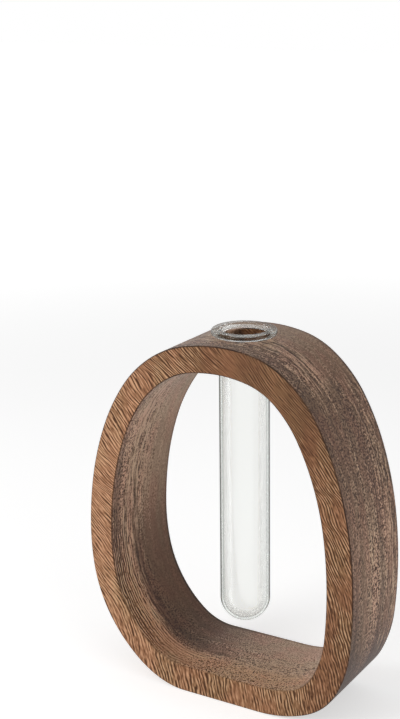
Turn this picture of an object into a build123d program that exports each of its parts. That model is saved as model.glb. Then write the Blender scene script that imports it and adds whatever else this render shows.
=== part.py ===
from build123d import *
import os

# Test tube vase: a ring cut from one block of hardwood, with a flanged glass tube
# that hangs in a hole through the ring's crown. The origin is at the middle of the
# footprint, on the surface the vase stands on, with the ring's faces towards -Y and +Y.

# Glass tube
tube_diameter = 25.0
tube_length = 155.0
tube_wall = 1.3
flange_overhang = 3.8
flange_thickness = 2.8
flange_lower_round = 0.5
flange_upper_round = 1.3
mouth_round = 1.1

# Wooden ring
ring_width = 150.8
ring_depth = 53.0
side_wall = 13.8
crown_wall = 14.0
foot_wall = 14.2
window_offset = -0.3
ring_edge_break = 0.5

# Both outlines run counterclockwise from the right end of their flat foot to its left
# end. Each row is a point, in shares of the outline's own width and height, and the
# direction in which the outline passes through it, in degrees
ring_outline_shares = (
    (0.158, 0.000, 0),
    (0.448, 0.119, 64),
    (0.500, 0.377, 90),
    (0.438, 0.713, 108),
    (0.255, 0.946, 142),
    (0.026, 1.000, 180),
    (-0.230, 0.948, 213),
    (-0.430, 0.733, 249),
    (-0.500, 0.412, 270),
    (-0.459, 0.220, 292),
    (-0.312, 0.058, 320),
    (-0.128, 0.000, 360),
)
window_outline_shares = (
    (0.193, 0.000, 0),
    (0.439, 0.081, 61),
    (0.500, 0.353, 90),
    (0.430, 0.722, 109),
    (0.274, 0.931, 136),
    (0.010, 1.000, 180),
    (-0.198, 0.966, 209),
    (-0.426, 0.738, 250),
    (-0.500, 0.394, 270),
    (-0.420, 0.140, 301),
    (-0.161, 0.000, 360),
)

# How the two pieces meet
tube_offset = 2.2
floor_gap = 21.3
seat_clearance = 0.3
hole_clearance = 0.4
hole_edge_break = 0.5
cut_overrun = 10.0

# The ring is as tall as it takes to hang the tube clear of the window's floor
bottom_height = foot_wall + floor_gap
mouth_height = bottom_height + tube_length
seat_height = mouth_height - flange_thickness
ring_height = seat_height - seat_clearance
window_width = ring_width - 2 * side_wall
window_height = ring_height - crown_wall - foot_wall

tube_radius = tube_diameter / 2
bore_radius = tube_radius - tube_wall
flange_radius = tube_radius + flange_overhang
bowl_height = bottom_height + tube_radius

os.makedirs("parts", exist_ok=True)


def pebble(shares, width, height, middle, foot):
    # Two arcs run from each point to the next, and they meet each other and the
    # directions at the points without a corner
    passes = []
    for across, up, direction in shares:
        point = Vector(middle + width * across, foot + height * up)
        passes.append((point, Vector(1, 0).rotate(Axis.Z, direction)))
    for (start, leaving), (end, arriving) in zip(passes, passes[1:]):
        chord = end - start
        turn = 2 - 2 * leaving.dot(arriving)
        pull = chord.dot(leaving + arriving)
        reach = ((pull**2 + turn * chord.dot(chord)) ** 0.5 - pull) / turn
        meeting = (start + end + (leaving - arriving) * reach) / 2
        arc = TangentArc(start, meeting, tangent=leaving)
        TangentArc(meeting, end, tangent=arc % 1)
    Line(passes[-1][0], passes[0][0])


# The window has an outline of its own, so the wall is a little thicker at the foot
# and the crown than at the sides
with BuildPart() as wooden_ring:
    with BuildSketch(Plane.XZ.offset(-ring_depth / 2)):
        with BuildLine():
            pebble(ring_outline_shares, ring_width, ring_height, 0, 0)
        make_face()
        with BuildLine():
            pebble(window_outline_shares, window_width, window_height, window_offset, foot_wall)
        make_face(mode=Mode.SUBTRACT)
    extrude(amount=ring_depth)
    ring_faces = wooden_ring.faces().filter_by(Axis.Y)
    chamfer(ring_faces.edges(), length=ring_edge_break)

    # The hole goes straight down through the crown and stops in the open window
    with Locations((tube_offset, 0, ring_height)):
        Hole(radius=tube_radius + hole_clearance, depth=crown_wall + cut_overrun)
    hole_edges = wooden_ring.edges(Select.LAST).filter_by(GeomType.LINE, reverse=True)
    chamfer(hole_edges, length=hole_edge_break)

wooden_ring.part.label = "wooden_ring"
export_step(wooden_ring.part, "parts/wooden_ring.step")

# The tube's profile is drawn on its own axis: up the outside from the round bottom,
# out along the flange's flat underside, over its rounded rim and down the bore
tube_plane = Plane(origin=(tube_offset, 0, 0), x_dir=(1, 0, 0), z_dir=(0, -1, 0))
tube_axis = Axis(origin=(tube_offset, 0, 0), direction=(0, 0, 1))

with BuildPart() as glass_tube:
    with BuildSketch(tube_plane):
        with BuildLine():
            outer_bowl = CenterArc((0, bowl_height), tube_radius, -90, 90)
            outer_wall = Line(outer_bowl @ 1, (tube_radius, seat_height))
            FilletPolyline(
                outer_wall @ 1,
                (flange_radius, seat_height),
                (flange_radius, mouth_height),
                (bore_radius, mouth_height),
                (bore_radius, bowl_height),
                radius=(flange_lower_round, flange_upper_round, mouth_round),
            )
            inner_bowl = CenterArc((0, bowl_height), bore_radius, 0, -90)
            Line(inner_bowl @ 1, outer_bowl @ 0)
        make_face()
    revolve(axis=tube_axis)

glass_tube.part.label = "glass_tube"
export_step(glass_tube.part, "parts/glass_tube.step")
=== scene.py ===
import bpy, bmesh, math
from mathutils import Matrix, Vector
from types import SimpleNamespace


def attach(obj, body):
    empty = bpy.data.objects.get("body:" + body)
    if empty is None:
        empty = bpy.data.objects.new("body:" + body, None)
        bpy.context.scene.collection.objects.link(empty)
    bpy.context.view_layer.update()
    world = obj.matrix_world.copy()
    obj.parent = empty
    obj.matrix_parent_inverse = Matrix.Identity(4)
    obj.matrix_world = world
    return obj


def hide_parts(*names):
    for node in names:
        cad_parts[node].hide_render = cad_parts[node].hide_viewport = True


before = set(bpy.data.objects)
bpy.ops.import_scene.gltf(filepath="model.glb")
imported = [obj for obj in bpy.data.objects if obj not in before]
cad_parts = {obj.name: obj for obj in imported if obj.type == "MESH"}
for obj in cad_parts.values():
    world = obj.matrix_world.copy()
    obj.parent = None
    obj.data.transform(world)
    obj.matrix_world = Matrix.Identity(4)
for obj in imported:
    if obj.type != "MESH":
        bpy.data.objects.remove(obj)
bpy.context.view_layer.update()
print("frame loaded:", sorted(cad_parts))


# short forms for building materials
def newMaterial(name):
    material = bpy.data.materials.new(name)
    material.use_nodes = True
    tree = material.node_tree
    tree.nodes.clear()
    output = tree.nodes.new("ShaderNodeOutputMaterial")
    return material, tree, output


def feed(tree, socket, value):
    # a value is another node's output, a number or a colour
    if isinstance(value, bpy.types.NodeSocket):
        tree.links.new(value, socket)
    else:
        socket.default_value = value


def addNode(tree, kind, inputs=(), **settings):
    # inputs are pairs of a socket's name or number and its value
    node = tree.nodes.new(kind)
    for key, value in settings.items():
        setattr(node, key, value)
    for key, value in inputs:
        feed(tree, node.inputs[key], value)
    return node


def sums(tree, operation, *values):
    return addNode(tree, "ShaderNodeMath", enumerate(values), operation=operation).outputs[0]


def total(tree, first, *rest):
    for value in rest:
        first = sums(tree, "ADD", first, value)
    return first


def product(tree, first, *rest):
    for value in rest:
        first = sums(tree, "MULTIPLY", first, value)
    return first


def spread(tree, value, low, high, toLow=0.0, toHigh=1.0, kind="SMOOTHSTEP"):
    inputs = zip(("Value", "From Min", "From Max", "To Min", "To Max"), (value, low, high, toLow, toHigh))
    return addNode(tree, "ShaderNodeMapRange", inputs, interpolation_type=kind).outputs["Result"]


def straight(tree, value, low, high, toLow, toHigh):
    return spread(tree, value, low, high, toLow, toHigh, "LINEAR")


def byMask(tree, mask, atNone, atFull):
    # one number where the mask is 0, the other where it is 1
    return straight(tree, mask, 0, 1, atNone, atFull)


def blendColours(tree, amount, first, second, mode="MIX"):
    # a colour mixing node has its factor at input 0 and its colours at inputs 6 and 7
    node = addNode(tree, "ShaderNodeMix", ((0, amount), (6, first), (7, second)), data_type="RGBA",
                   blend_type=mode, clamp_factor=True)
    return node.outputs[2]


def toneRamp(tree, value, stops, bend="LINEAR"):
    node = addNode(tree, "ShaderNodeValToRGB", ((0, value),))
    ramp = node.color_ramp
    ramp.interpolation = bend
    while len(ramp.elements) < len(stops):
        ramp.elements.new(0.5)
    for element, (position, colour) in zip(ramp.elements, stops):
        element.position = position
        element.color = colour if isinstance(colour, tuple) else (colour, colour, colour, 1)
    return node.outputs[0]


def noiseAt(tree, place, scale=1, detail=1, roughness=0.5):
    inputs = (("Vector", place), ("Scale", scale), ("Detail", detail), ("Roughness", roughness))
    return addNode(tree, "ShaderNodeTexNoise", inputs, noise_dimensions="3D").outputs[0]


def swings(tree, place, scale, detail):
    # noise that goes to both sides of 0 instead of 0.5
    return sums(tree, "SUBTRACT", noiseAt(tree, place, scale, detail), 0.5)


def stretched(tree, across, depth, along, sizes):
    # sizes are how long a mark is across the grain, through the depth and along the grain
    parts = [sums(tree, "DIVIDE", value, size) for value, size in zip((across, depth, along), sizes)]
    return addNode(tree, "ShaderNodeCombineXYZ", enumerate(parts)).outputs[0]


# hardwood: one material for the whole ring. Sizes and places are in metres. A range has four
# numbers, from where to where and from what to what, or only the first two where it goes from
# 0 to 1. A ramp has stops, and those for left and right walls run from the ring's front, which
# is 0, to its back, which is 1
hardwoodLook = {
    # colours, from dark to pale
    "faceTones": (
        (0.00, (0.070, 0.030, 0.014, 1)),
        (0.45, (0.245, 0.122, 0.060, 1)),
        (1.00, (0.560, 0.330, 0.190, 1)),
    ),
    "wallTones": (
        (0.00, (0.055, 0.028, 0.018, 1)),
        (0.45, (0.205, 0.117, 0.073, 1)),
        (1.00, (0.560, 0.370, 0.250, 1)),
    ),
    "arris": (0.036, 0.019, 0.012, 1),
    "redHue": (1.03, 0.95, 0.94, 1),
    "greenHue": (0.97, 1.00, 0.97, 1),
    "pinkHue": (1.00, 1.05, 1.14, 1),
    "roughness": 0.45,
    "roughnessByDetail": -0.18,
    "shine": 0.16,
    "bumpStrength": 0.6,
    "bumpHeight": 0.0002,

    # parts of the ring
    "blockHeight": 0.19,
    "halfDepth": 0.0265,
    "wallTilt": (0.55, 0.85, 1, 0),
    "rightHalf": (0.00, 0.03),
    "outerRight": (0.040, 0.058),
    "outward": (-0.01, 0.01),
    "lowHeights": (0.060, 0.100, 1, 0),
    "lowAcross": (-0.030, 0.000, 1, 0),
    "lowFrontReach": (0.26, 0.38, 1, 0),
    "lowRearReach": (0.30, 0.46),
    "floorHeights": (0.016, 0.030, 1, 0),
    "upperHeights": (0.098, 0.125),
    "upperFrontHeights": (0.080, 0.110),
    "upperAcross": (-0.030, -0.010, 1, 0),
    "calmHeights": (0.115, 0.165),
    "calmAcross": (-0.018, 0.012),
    "arrisTilt": (0.45, 0.65),
    "arrisTiltEnd": (0.78, 0.92, 1, 0),

    # how the grain wavers: swings and wrinkles in all of it, and the layers of the block
    "swingScale": 22,
    "swingSize": 0.006,
    "wrinkleScale": 110,
    "wrinkleSize": 0.0016,
    "layerScale": 14,
    "layerSize": 0.005,

    # the figure of the faces, with looks of its own in each half
    "leftFace": {
        "lean": ((0.00, 0.000), (0.26, 0.020), (0.53, 0.068), (0.64, 0.097), (0.80, 0.121), (0.90, 0.138),
                 (1.00, 0.162)),
        "spacing": 0.0021,
        "waver": 1,
        "drift": 2.2,
        "patches": (0.38, 0.54, 1, 1),
    },
    "rightFace": {
        "lean": ((0.00, 0.000), (0.26, 0.013), (0.42, 0.023), (0.56, 0.038), (0.66, 0.050), (0.84, 0.079),
                 (1.00, 0.107)),
        "spacing": 0.0016,
        "waver": 0.55,
        "drift": 1.5,
        "patches": (0.38, 0.54, 0.5, 1.25),
    },
    "lineLevels": ((0.00, 0.00), (0.30, 0.32), (0.60, 0.76), (1.00, 1.00)),
    "lineDark": -0.62,
    "linePale": 0.40,
    "lineBreaks": (0.34, 0.58, 0.12, 1.0),
    "lineBlotches": (0.36, 0.56, 0.82, 1.12),
    "driftSize": (0.0050, 0.0050, 0.0120),
    "breakSize": (0.0020, 0.0018, 0.0040),
    "poreSize": (0.0017, 0.0015, 0.0060),
    "poreTones": ((0.00, 0.00), (0.20, 0.05), (0.40, 0.85), (0.66, 0.58), (1.00, 0.50)),
    "poreMiddle": 0.55,
    "poreWeight": 0.45,
    "fibreSize": (0.00095, 0.00080, 0.0038),
    "fibreShades": (0.3, 0.7, -0.18, 0.18),

    # the figure of the walls: lines, a closer set at the low left, specks, strands and flames
    "wallSpacing": 0.0040,
    "wallDrift": 2.6,
    "wallLineLevels": ((0.00, 0.22), (0.36, 0.46), (0.68, 0.62), (0.88, 0.96), (1.00, 1.00)),
    "wallDriftSize": (0.0080, 0.0050, 0.0110),
    "wallBreakSize": (0.0060, 0.0032, 0.0090),
    "linesLeft": ((0.00, 0.25), (0.14, 0.32), (0.22, 1.00), (0.46, 0.90), (0.58, 0.12), (1.00, 0.06)),
    "linesRight": ((0.00, 0.15), (0.50, 0.20), (0.66, 0.45), (0.80, 0.75), (1.00, 0.60)),
    "linesAtLowFront": 0.4,
    "linesOnFloor": 0.4,
    "lowSpacing": 0.0018,
    "lowDrift": 1.8,
    "lowLinesOffFloor": 2.2,
    "lowLinesOnFloor": 0.6,
    "speckTones": ((0.00, 0.00), (0.30, 0.14), (0.48, 0.55), (0.66, 0.80), (1.00, 1.00)),
    "speckNoise": (0.25, 0.75, 0, 1),
    "speckDark": -1.1,
    "speckPale": 0.9,
    "speckSizeLeft": (0.00060, 0.0011, 0.0012),
    "speckSizeRight": (0.00070, 0.0011, 0.0011),
    "specksLeft": ((0.00, 0.50), (0.20, 0.42), (0.30, 0.28), (0.54, 0.34), (0.64, 0.24), (1.00, 0.14)),
    "specksRight": ((0.00, 0.32), (0.30, 0.36), (0.45, 0.56), (0.66, 0.58), (0.76, 0.36), (1.00, 0.30)),
    "specksOnFloor": (0.25, 0.45, 2.6, 1.9),
    "specksAtLowFront": 0.45,
    "specksInStrands": (0.38, 0.62, 0.55, 1.30),
    "specksLowRight": (0.02, 0.08, 0.55, 1.0),
    "strandSize": (0.025, 0.0030, 0.100),
    "strandShades": (0.35, 0.65, -0.035, 0.035),
    "detailAtLowRear": 0.55,
    "detailAtUpperLeft": 1.25,
    "flameSize": (0.020, 0.00058, 0.026),
    "flameShades": (0.52, 0.60, 0, 0.60),
    "flamesLeft": ((0.00, 0.00), (0.16, 0.10), (0.24, 0.90), (0.50, 0.90), (0.60, 0.20), (1.00, 0.10)),
    "flamesRight": ((0.00, 0.00), (0.30, 0.15), (0.45, 0.45), (0.56, 0.20), (0.64, 0.10), (0.72, 0.45),
                    (1.00, 0.60)),
    "flamesAtLowRear": 0.1,
    "flamesOnFloor": 0.4,

    # broad shades: slanting drifts from pale to dark, which are partly the wood's own tone and partly
    # painted light and shade, then bands, blotches and ribbons
    "slant": 0.6,
    "slantPlaces": (-0.05, 0.18, 0, 1),
    # paler to the left and darker to the right: partly the wood's own tone, partly painted light and shade
    "faceDrift": ((0.00, 0.61), (0.30, 0.61), (0.44, 0.52), (0.58, 0.365), (0.68, 0.34), (1.00, 0.345)),
    # the walls' drifts are partly the wood's own tone and partly painted light and shade
    "innerDrift": ((0.00, 0.30), (0.10, 0.32), (0.20, 0.51), (0.36, 0.90), (0.46, 0.86), (0.62, 0.62),
                   (1.00, 0.42)),
    "outerDrift": ((0.00, 0.52), (0.30, 0.46), (0.44, 0.33), (0.50, 0.26), (0.58, 0.33), (0.68, 0.45),
                   (0.78, 0.43), (0.88, 0.20), (1.00, 0.20)),
    "wallDriftMiddle": 0.5,
    "bandSize": (0.016, 0.010, 0.160),
    "bandShades": (0.25, 0.75, -0.07, 0.07),
    "blotchSize": (0.012, 0.008, 0.030),
    "blotchHues": (0.35, 0.65),
    "pinkReach": (0.35, 0.85),
    "ribbonsLeft": ((0.00, 0.42), (0.12, 0.43), (0.20, 0.53), (0.42, 0.54), (0.62, 0.63), (1.00, 0.68)),
    "ribbonsRight": ((0.00, 0.45), (0.15, 0.50), (0.35, 0.51), (0.56, 0.49), (0.62, 0.36), (0.68, 0.50),
                     (1.00, 0.53)),
    "calmDetail": 0.4,
    # the crown darker: partly the wood's own tone, partly painted shade
    "crownToneAndShade": -0.075,
    # painted shade: the foot of the faces is darkened
    "faceFootPaintedShade": (0.0, 0.05, -0.14, 0),
    "warmHeights": (0.035, 0.075, 0.9, 0),
    "warmReach": (0.20, 0.40, 1, 0),
    "warmShade": 0.28,
    "lowFrontShades": (0.025, 0.060, 0.20, 0.04),
    "lowStripShades": (0.10, 0.19, -0.20, 0.06),
    # darker at the low rear of the window: partly the wood's own tone, partly painted shade
    "lowRearToneAndShade": -0.12,
    # painted shade: the foot of the walls is darkened, and the foot of the outer right wall much more
    "wallFootPaintedShade": (0, 0.075, -0.16, 0),
    "rightFootPaintedShade": (0, 0.05, -0.55, 0),
    "rightStripReach": (0.10, 0.30, 1, 0),
    "rightStripShades": (0.05, 0.10, -0.22, 0),
    "upperShades": (0.22, 0.42, 0, -0.16),
    "upperFrontShades": (0.07, 0.17, -0.17, 0),
    "backEdgeShades": (0.0238, 0.0252, 0, -0.30),
    "arrisBands": (0.35, 0.6, 0.60, 1.0),
    "arrisHeights": (0.030, 0.080, 0.35, 1.0),
}


def ringPlace(tree, look):
    # where a point of the ring is, which part of the ring that is, and the noises that its figures share
    at = SimpleNamespace()
    coordinates = addNode(tree, "ShaderNodeTexCoord")
    place = coordinates.outputs["Object"]
    facing = coordinates.outputs["Normal"]
    at.x, at.y, at.z = addNode(tree, "ShaderNodeSeparateXYZ", ((0, place),)).outputs
    across, through, up = addNode(tree, "ShaderNodeSeparateXYZ", ((0, facing),)).outputs
    at.edgeTilt = sums(tree, "ABSOLUTE", through)
    at.wall = spread(tree, at.edgeTilt, *look["wallTilt"])

    # the grain wavers a little, and so do the layers of the block
    slow = product(tree, swings(tree, place, look["swingScale"], detail=2), look["swingSize"])
    quick = product(tree, swings(tree, place, look["wrinkleScale"], detail=1), look["wrinkleSize"])
    at.waver = total(tree, quick, slow)
    layer = product(tree, swings(tree, place, look["layerScale"], detail=2), look["layerSize"])
    layer = total(tree, layer, at.y)
    at.level = total(tree, layer, at.waver)
    at.reach = straight(tree, layer, -look["halfDepth"], look["halfDepth"], 0, 1)

    at.side = spread(tree, at.x, *look["outerRight"])
    lowLeft = product(tree, spread(tree, at.z, *look["lowHeights"]), spread(tree, at.x, *look["lowAcross"]))
    at.lowFront = product(tree, lowLeft, spread(tree, at.reach, *look["lowFrontReach"]))
    at.lowRear = product(tree, lowLeft, spread(tree, at.reach, *look["lowRearReach"]))
    at.onFloor = product(tree, spread(tree, at.z, *look["floorHeights"]), byMask(tree, at.side, 1, 0))
    leftward = spread(tree, at.x, *look["upperAcross"])
    at.upperLeft = product(tree, spread(tree, at.z, *look["upperHeights"]), leftward)
    at.upperFront = product(tree, spread(tree, at.z, *look["upperFrontHeights"]), leftward)
    fromMiddle = sums(tree, "SUBTRACT", at.z, look["blockHeight"] / 2)
    outward = total(tree, product(tree, at.x, across), product(tree, fromMiddle, up))
    at.outward = spread(tree, outward, *look["outward"])

    at.blotches = noiseAt(tree, stretched(tree, at.x, at.y, at.z, look["blotchSize"]))
    at.bands = noiseAt(tree, stretched(tree, at.x, at.y, at.z, look["bandSize"]), detail=2)
    at.strands = layerNoise(tree, look, at, "strandSize")
    slanted = total(tree, product(tree, at.z, look["slant"]), at.x)
    at.slant = straight(tree, slanted, *look["slantPlaces"])
    return at


def layerNoise(tree, look, at, size, detail=1):
    return noiseAt(tree, stretched(tree, at.x, at.level, at.z, look[size]), detail=detail)


def byReach(tree, look, at, left, right):
    # the right ramp is for the outer right wall, and the left one for all other walls
    return blendColours(tree, at.side, toneRamp(tree, at.reach, look[left]),
                        toneRamp(tree, at.reach, look[right]))


def lines(tree, look, at, phase, breaks, levels):
    # fine lines, dark and pale in turn, that fade out and start again along their length
    wave = sums(tree, "SINE", product(tree, phase, math.tau))
    wave = toneRamp(tree, straight(tree, wave, -1, 1, 0, 1), look[levels])
    return product(tree, byMask(tree, wave, look["lineDark"], look["linePale"]),
                   spread(tree, breaks, *look["lineBreaks"]),
                   spread(tree, at.blotches, *look["lineBlotches"]))


def faceFigure(tree, look, at, half):
    # on the faces the lines lean, in some stretches more than in others, with short open pores among them
    rise = sums(tree, "DIVIDE", at.z, look["blockHeight"])
    lean = toneRamp(tree, rise, half["lean"], "CARDINAL")
    across = total(tree, product(tree, at.waver, half["waver"]), at.x, lean)
    depth = total(tree, at.y, at.waver)

    def marks(size):
        return stretched(tree, across, depth, at.z, look[size])

    phase = total(tree, product(tree, noiseAt(tree, marks("driftSize")), half["drift"]),
                  sums(tree, "DIVIDE", across, half["spacing"]))
    figure = product(tree, lines(tree, look, at, phase, noiseAt(tree, marks("breakSize")), "lineLevels"),
                     spread(tree, at.blotches, *half["patches"]))
    fibres = spread(tree, noiseAt(tree, marks("fibreSize")), *look["fibreShades"])
    cells = addNode(tree, "ShaderNodeTexVoronoi", (("Vector", marks("poreSize")), ("Scale", 1.0)),
                    feature="F1", voronoi_dimensions="3D")
    pores = toneRamp(tree, cells.outputs["Distance"], look["poreTones"])
    pores = product(tree, sums(tree, "SUBTRACT", pores, look["poreMiddle"]), look["poreWeight"])
    return total(tree, figure, fibres, pores)


def wallFigure(tree, look, at):
    # on the walls the lines follow the layers of the block, with fine specks among them
    drifts = layerNoise(tree, look, at, "wallDriftSize", detail=2)

    def wallLines(drift, spacing, breakSize, levels):
        phase = total(tree, product(tree, drifts, drift), sums(tree, "DIVIDE", at.level, spacing))
        return lines(tree, look, at, phase, layerNoise(tree, look, at, breakSize), levels)

    def specks(size):
        grains = straight(tree, layerNoise(tree, look, at, size), *look["speckNoise"])
        grains = toneRamp(tree, grains, look["speckTones"])
        return byMask(tree, grains, look["speckDark"], look["speckPale"])

    longLines = wallLines(look["wallDrift"], look["wallSpacing"], "wallBreakSize", "wallLineLevels")
    longLines = product(tree, longLines, byReach(tree, look, at, "linesLeft", "linesRight"),
                        byMask(tree, at.lowFront, 1, look["linesAtLowFront"]),
                        byMask(tree, at.onFloor, 1, look["linesOnFloor"]))
    lowLines = wallLines(look["lowDrift"], look["lowSpacing"], "breakSize", "lineLevels")
    lowLines = product(tree, lowLines, at.lowFront,
                       byMask(tree, at.onFloor, look["lowLinesOffFloor"], look["lowLinesOnFloor"]))
    floorGain = byMask(tree, at.onFloor, 1, spread(tree, at.reach, *look["specksOnFloor"]))
    rightGain = byMask(tree, at.side, 1, spread(tree, at.z, *look["specksLowRight"]))
    allSpecks = blendColours(tree, at.side, specks("speckSizeLeft"), specks("speckSizeRight"))
    allSpecks = product(tree, allSpecks, byReach(tree, look, at, "specksLeft", "specksRight"),
                        byMask(tree, at.lowFront, floorGain, look["specksAtLowFront"]), rightGain,
                        spread(tree, at.strands, *look["specksInStrands"]))
    return product(tree, total(tree, longLines, lowLines, allSpecks),
                   byMask(tree, at.lowRear, 1, look["detailAtLowRear"]),
                   byMask(tree, at.upperLeft, 1, look["detailAtUpperLeft"]))


def faceShade(tree, look, at, detail):
    # the left of the block is paler and the crown smoother and darker, partly the wood's own tone and
    # partly painted light and shade, and the darker foot is painted shade
    crown = product(tree, spread(tree, at.z, *look["calmHeights"]), spread(tree, at.x, *look["calmAcross"]))
    return total(tree, toneRamp(tree, at.slant, look["faceDrift"]),
                 spread(tree, at.z, *look["faceFootPaintedShade"]),
                 spread(tree, at.bands, *look["bandShades"]),
                 product(tree, detail, byMask(tree, crown, 1, look["calmDetail"])),
                 byMask(tree, crown, 0, look["crownToneAndShade"]))


def wallShade(tree, look, at, detail, warm):
    # drifts, ribbons and flames run round the walls, and some stretches are shaded on their own. The drifts
    # and the low rear are partly the wood's own tone and partly painted light and shade, and the darker
    # foot is painted shade
    drift = blendColours(tree, at.outward, toneRamp(tree, at.slant, look["innerDrift"]),
                         toneRamp(tree, at.slant, look["outerDrift"]))
    flames = product(tree, spread(tree, layerNoise(tree, look, at, "flameSize"), *look["flameShades"]),
                     byReach(tree, look, at, "flamesLeft", "flamesRight"),
                     byMask(tree, at.lowRear, 1, look["flamesAtLowRear"]),
                     byMask(tree, at.onFloor, 1, look["flamesOnFloor"]))
    lowStrip = product(tree, at.lowFront, byMask(tree, at.onFloor, 1, 0),
                       spread(tree, at.reach, *look["lowStripShades"]))
    rightStrip = product(tree, at.side, spread(tree, at.reach, *look["rightStripReach"]),
                         spread(tree, at.z, *look["rightStripShades"]))
    return total(tree, sums(tree, "SUBTRACT", drift, look["wallDriftMiddle"]),
                 byReach(tree, look, at, "ribbonsLeft", "ribbonsRight"),
                 detail, flames, lowStrip, rightStrip,
                 product(tree, warm, look["warmShade"]),
                 product(tree, at.lowFront, spread(tree, at.z, *look["lowFrontShades"])),
                 product(tree, at.lowRear, look["lowRearToneAndShade"]),
                 spread(tree, at.z, *look["wallFootPaintedShade"]),
                 product(tree, at.side, spread(tree, at.z, *look["rightFootPaintedShade"])),
                 spread(tree, at.strands, *look["strandShades"]),
                 spread(tree, at.y, *look["backEdgeShades"]),
                 product(tree, at.upperLeft, spread(tree, at.reach, *look["upperShades"])),
                 product(tree, at.upperFront, spread(tree, at.reach, *look["upperFrontShades"])))


def hardwood():
    look = hardwoodLook
    material, tree, output = newMaterial("openPoredHardwood")
    at = ringPlace(tree, look)
    faceDetail = blendColours(tree, spread(tree, at.x, *look["rightHalf"]),
                              faceFigure(tree, look, at, look["leftFace"]),
                              faceFigure(tree, look, at, look["rightFace"]))
    wallDetail = wallFigure(tree, look, at)
    detail = blendColours(tree, at.wall, faceDetail, wallDetail)

    faceColour = toneRamp(tree, faceShade(tree, look, at, faceDetail), look["faceTones"])
    warm = product(tree, spread(tree, at.z, *look["warmHeights"]),
                   spread(tree, at.reach, *look["warmReach"]), byMask(tree, at.side, 1, 0))
    onWall = wallShade(tree, look, at, wallDetail, warm)
    wallColour = blendColours(tree, warm, toneRamp(tree, onWall, look["wallTones"]),
                              toneRamp(tree, onWall, look["faceTones"]))
    colour = blendColours(tree, at.wall, faceColour, wallColour)

    # the narrow broken edges are darker
    arris = product(tree, spread(tree, at.edgeTilt, *look["arrisTilt"]),
                    spread(tree, at.edgeTilt, *look["arrisTiltEnd"]),
                    spread(tree, at.bands, *look["arrisBands"]), spread(tree, at.z, *look["arrisHeights"]))
    colour = blendColours(tree, arris, colour, look["arris"])
    hue = spread(tree, at.blotches, *look["blotchHues"])
    hue = blendColours(tree, hue, look["redHue"], look["greenHue"])
    colour = blendColours(tree, 1.0, colour, hue, "MULTIPLY")
    pink = product(tree, at.onFloor, spread(tree, at.reach, *look["pinkReach"]), at.wall)
    colour = blendColours(tree, pink, colour, look["pinkHue"], "MULTIPLY")

    bump = addNode(tree, "ShaderNodeBump", (
        ("Strength", look["bumpStrength"]), ("Distance", look["bumpHeight"]), ("Height", detail),
    ))
    roughness = total(tree, product(tree, detail, look["roughnessByDetail"]), look["roughness"])
    shader = addNode(tree, "ShaderNodeBsdfPrincipled", (
        ("Base Color", colour), ("Roughness", roughness), ("Specular IOR Level", look["shine"]),
        ("Normal", bump.outputs[0]),
    ))
    tree.links.new(shader.outputs[0], output.inputs[0])
    return material


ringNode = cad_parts["wooden_ring"]
hardwoodMaterial = hardwood()
for slot in ringNode.material_slots:
    slot.material = hardwoodMaterial
print("hardwood ready")


# glass tube: its sizes in metres, with the rounds of its profile's corners from the seat to the bore
tube = {
    "centre": 0.0022,
    "bottom": 0.0355,
    "mouth": 0.1905,
    "radius": 0.0125,
    "wall": 0.0013,
    "flangeRadius": 0.0163,
    "flangeThickness": 0.0028,
    "rounds": (0.0006, 0.0009, 0.0013, 0.0011),
    "roundSteps": 8,
    "swellStart": 0.13,
    "bowlSwell": 0.00028,
    "outerBowlSteps": 28,
    "innerBowlSteps": 24,
    "steps": 144,
    "weld": 1e-6,
}
tube["bore"] = tube["radius"] - tube["wall"]
tube["bowl"] = tube["bottom"] + tube["radius"]
tube["seat"] = tube["mouth"] - tube["flangeThickness"]


def link(name, mesh):
    data = bpy.data.meshes.new(name)
    mesh.to_mesh(data)
    mesh.free()
    item = bpy.data.objects.new(name, data)
    bpy.context.scene.collection.objects.link(item)
    return item


def glassTube():
    mesh = bmesh.new()

    def point(across, height):
        return mesh.verts.new((across, 0, height))

    def bowlArc(height, steps):
        # a quarter turn from the axis up to the wall, about the middle of the bowl
        turned = bmesh.ops.spin(mesh, geom=[point(0, height)], cent=(0, 0, tube["bowl"]), axis=(0, 1, 0),
                                angle=math.radians(-90), steps=steps, use_merge=False)
        return [item for item in turned["geom_last"] if isinstance(item, bmesh.types.BMVert)][0]

    # half a profile, from the outer bowl over the flange to the inner bowl
    outerEnd = bowlArc(tube["bottom"], tube["outerBowlSteps"])
    corners = [point(tube["radius"], tube["seat"]), point(tube["flangeRadius"], tube["seat"]),
               point(tube["flangeRadius"], tube["mouth"]), point(tube["bore"], tube["mouth"])]
    innerEnd = bowlArc(tube["bowl"] - tube["bore"], tube["innerBowlSteps"])
    chain = [outerEnd] + corners + [innerEnd]
    for first, second in zip(chain, chain[1:]):
        mesh.edges.new((first, second))
    for corner, amount in zip(corners, tube["rounds"]):
        bmesh.ops.bevel(mesh, geom=[corner], offset=amount, offset_type="OFFSET", affect="VERTICES",
                        segments=tube["roundSteps"], profile=0.5, material=-1)

    bmesh.ops.spin(mesh, geom=mesh.verts[:] + mesh.edges[:], cent=(0, 0, 0), axis=(0, 0, 1), angle=math.tau,
                   steps=tube["steps"], use_merge=True)
    bmesh.ops.remove_doubles(mesh, verts=mesh.verts[:], dist=tube["weld"])
    bmesh.ops.recalc_face_normals(mesh, faces=mesh.faces[:])
    for vert in mesh.verts:
        # a drawn tube swells a little towards its bowl
        lower = (tube["swellStart"] - vert.co.z) / (tube["swellStart"] - tube["bowl"])
        lower = min(1, max(0, lower))
        vert.co.xy *= 1 + tube["bowlSwell"] / tube["radius"] * lower * lower * (3 - 2 * lower)
    bmesh.ops.translate(mesh, verts=mesh.verts[:], vec=(tube["centre"], 0, 0))
    for face in mesh.faces:
        face.smooth = True
    return link("flangedTube", mesh)


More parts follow.
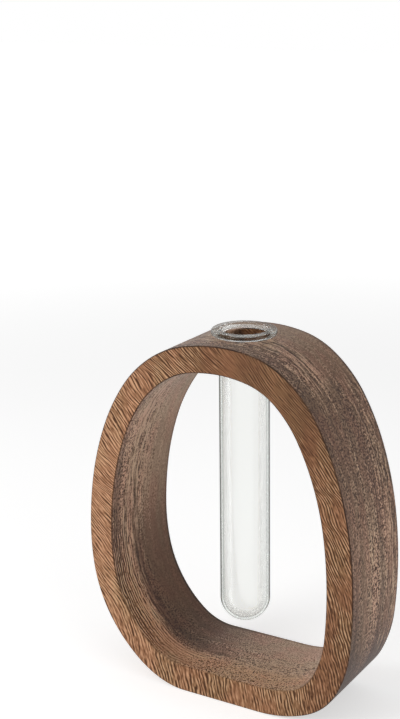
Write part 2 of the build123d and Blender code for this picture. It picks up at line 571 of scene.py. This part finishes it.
# clear glass: ranges as in the hardwood's looks, and the two shares are of the wall's thickness
clearGlassLook = {
    "tint": (0.990, 0.992, 0.986, 1),
    "through": (0.990, 0.990, 0.985, 1),
    # painted shade for the glass's dark edges
    "rim": (0.27, 0.27, 0.255, 1),
    "ior": 1.47,
    "clear": 0.80,
    "clearFlange": 0.64,
    "throughColour": (0.55, 0.68, 0.62, 1),
    "throughDensity": 24.0,
    "smudgeScale": 90,
    "smudgeRoughness": (0.45, 0.8, 0.0, 0.012),
    "rippleScale": 60,
    "rippleStrength": 0.04,
    "rippleHeight": 0.0003,
    "edgeBlend": 0.5,
    "edgeFacing": (0.58, 0.84),
    "wallShares": (0.8, 0.2),
    "edgeInBore": 0.25,
    "edgeOnFlange": 0.70,
    "flangeFade": 0.0008,
}


def clearGlass():
    look = clearGlassLook
    material, tree, output = newMaterial("clearTubeGlass")
    place = addNode(tree, "ShaderNodeTexCoord").outputs["Object"]
    smudges = noiseAt(tree, place, look["smudgeScale"], detail=3, roughness=0.6)
    ripples = noiseAt(tree, place, look["rippleScale"])
    bump = addNode(tree, "ShaderNodeBump", (
        ("Strength", look["rippleStrength"]), ("Distance", look["rippleHeight"]), ("Height", ripples),
    ))

    # painted shade: glass seen along its surface is darkened, and along the bore only a little
    weight = addNode(tree, "ShaderNodeLayerWeight", (("Blend", look["edgeBlend"]),))
    x, y, z = addNode(tree, "ShaderNodeSeparateXYZ", ((0, place),)).outputs
    x = sums(tree, "SUBTRACT", x, tube["centre"])
    fromAxis = sums(tree, "SQRT", total(tree, product(tree, x, x), product(tree, y, y)))
    inner, outer = [tube["radius"] - depth * tube["wall"] for depth in look["wallShares"]]
    onFlange = spread(tree, z, tube["seat"] - look["flangeFade"], tube["seat"])
    paintedEdgeShade = product(tree, spread(tree, weight.outputs["Facing"], *look["edgeFacing"]),
                     spread(tree, fromAxis, inner, outer, look["edgeInBore"], 1),
                     byMask(tree, onFlange, 1, look["edgeOnFlange"]))

    shader = addNode(tree, "ShaderNodeBsdfPrincipled", (
        ("Base Color", blendColours(tree, paintedEdgeShade, look["tint"], look["rim"])),
        ("Roughness", spread(tree, smudges, *look["smudgeRoughness"])),
        ("IOR", look["ior"]),
        ("Transmission Weight", 1.0),
        ("Normal", bump.outputs[0]),
    ))
    through = blendColours(tree, paintedEdgeShade, look["through"], look["rim"])
    through = addNode(tree, "ShaderNodeBsdfTransparent", ((0, through),))
    share = byMask(tree, onFlange, look["clear"], look["clearFlange"])
    both = addNode(tree, "ShaderNodeMixShader", ((0, share),))
    tree.links.new(shader.outputs[0], both.inputs[1])
    tree.links.new(through.outputs[0], both.inputs[2])
    tree.links.new(both.outputs[0], output.inputs["Surface"])
    inside = addNode(tree, "ShaderNodeVolumeAbsorption",
                     (("Color", look["throughColour"]), ("Density", look["throughDensity"])))
    tree.links.new(inside.outputs[0], output.inputs["Volume"])
    return material


tubePiece = glassTube()
tubePiece.data.materials.append(clearGlass())
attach(tubePiece, "tube")
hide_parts("glass_tube")
print("glass tube ready:", len(tubePiece.data.polygons), "faces")


# floor, sky and lamps
studio = {
    "floorHalf": 4.0,
    "floorColour": (0.78, 0.78, 0.78, 1),
    "floorLifts": (0.5, 1.5, 0.50, 0.80),
    "skyColour": (1, 1, 1, 1),
    "skyOnObject": 0.42,
    "skySeen": 1.0,
    "aim": (0, 0, 0.09),
    "softboxes": {
        "keySoftbox": {"place": (-0.60, -0.70, 0.40), "size": (0.5, 0.6), "power": 5.8},
        "fillSoftbox": {"place": (0.9, -0.35, 0.25), "size": (0.6, 0.4), "power": 3.0},
    },
}


def seenDirectly(tree):
    # 1 for rays that show the background: straight from the camera, mirrored or through glass
    path = addNode(tree, "ShaderNodeLightPath")
    shown = sums(tree, "MAXIMUM", path.outputs["Is Camera Ray"], path.outputs["Is Glossy Ray"])
    return sums(tree, "MAXIMUM", shown, path.outputs["Is Transmission Ray"])


def studioFloor():
    mesh = bmesh.new()
    bmesh.ops.create_grid(mesh, x_segments=1, y_segments=1, size=studio["floorHalf"])
    floor = link("studioFloor", mesh)
    material, tree, output = newMaterial("paleFloor")
    matt = addNode(tree, "ShaderNodeBsdfDiffuse", (("Color", studio["floorColour"]),))
    # the floor goes over into the white sky behind it
    place = addNode(tree, "ShaderNodeTexCoord").outputs["Object"]
    away = addNode(tree, "ShaderNodeVectorMath", ((0, place),), operation="LENGTH")
    lifted = spread(tree, away.outputs["Value"], *studio["floorLifts"])
    lift = addNode(tree, "ShaderNodeEmission", (("Strength", product(tree, seenDirectly(tree), lifted)),))
    both = addNode(tree, "ShaderNodeAddShader")
    tree.links.new(matt.outputs[0], both.inputs[0])
    tree.links.new(lift.outputs[0], both.inputs[1])
    tree.links.new(both.outputs[0], output.inputs[0])
    floor.data.materials.append(material)


def studioSky():
    world = bpy.data.worlds.new("studioSky")
    world.use_nodes = True
    bpy.context.scene.world = world
    tree = world.node_tree
    tree.nodes.clear()
    strength = byMask(tree, seenDirectly(tree), studio["skyOnObject"], studio["skySeen"])
    sky = addNode(tree, "ShaderNodeBackground", (("Color", studio["skyColour"]), ("Strength", strength)))
    tree.links.new(sky.outputs[0], addNode(tree, "ShaderNodeOutputWorld").inputs[0])


def softbox(name, place, size, power):
    lamp = bpy.data.lights.new(name, "AREA")
    lamp.shape = "RECTANGLE"
    lamp.size, lamp.size_y = size
    lamp.energy = power
    item = bpy.data.objects.new(name, lamp)
    # in glass the lamps would show as sparkles
    item.visible_transmission = item.visible_glossy = False
    item.location = place
    item.rotation_euler = (Vector(studio["aim"]) - Vector(place)).to_track_quat("-Z", "Y").to_euler()
    bpy.context.scene.collection.objects.link(item)


studioFloor()
studioSky()
for name, lampSettings in studio["softboxes"].items():
    softbox(name, **lampSettings)
print("studio ready")


# camera
cameraPlace = {
    "sensor": 36.0,
    "lens": 72.08,
    "location": (0.33759, -0.59065, 0.37132),
    "right": (0.85522, 0.5181, -0.01295),
    "up": (-0.13339, 0.2442, 0.96051),
    "back": (0.5008, -0.81972, 0.27796),
}
lens = bpy.data.cameras.new("studioCamera")
lens.sensor_width = cameraPlace["sensor"]
lens.lens = cameraPlace["lens"]
camera = bpy.data.objects.new("studioCamera", lens)
bpy.context.scene.collection.objects.link(camera)
turn = Matrix([cameraPlace["right"], cameraPlace["up"], cameraPlace["back"]]).transposed().to_4x4()
camera.matrix_world = Matrix.Translation(cameraPlace["location"]) @ turn
bpy.context.scene.camera = camera
bpy.context.scene.view_settings.view_transform = "Standard"
print("camera ready")

bpy.context.view_layer.update()
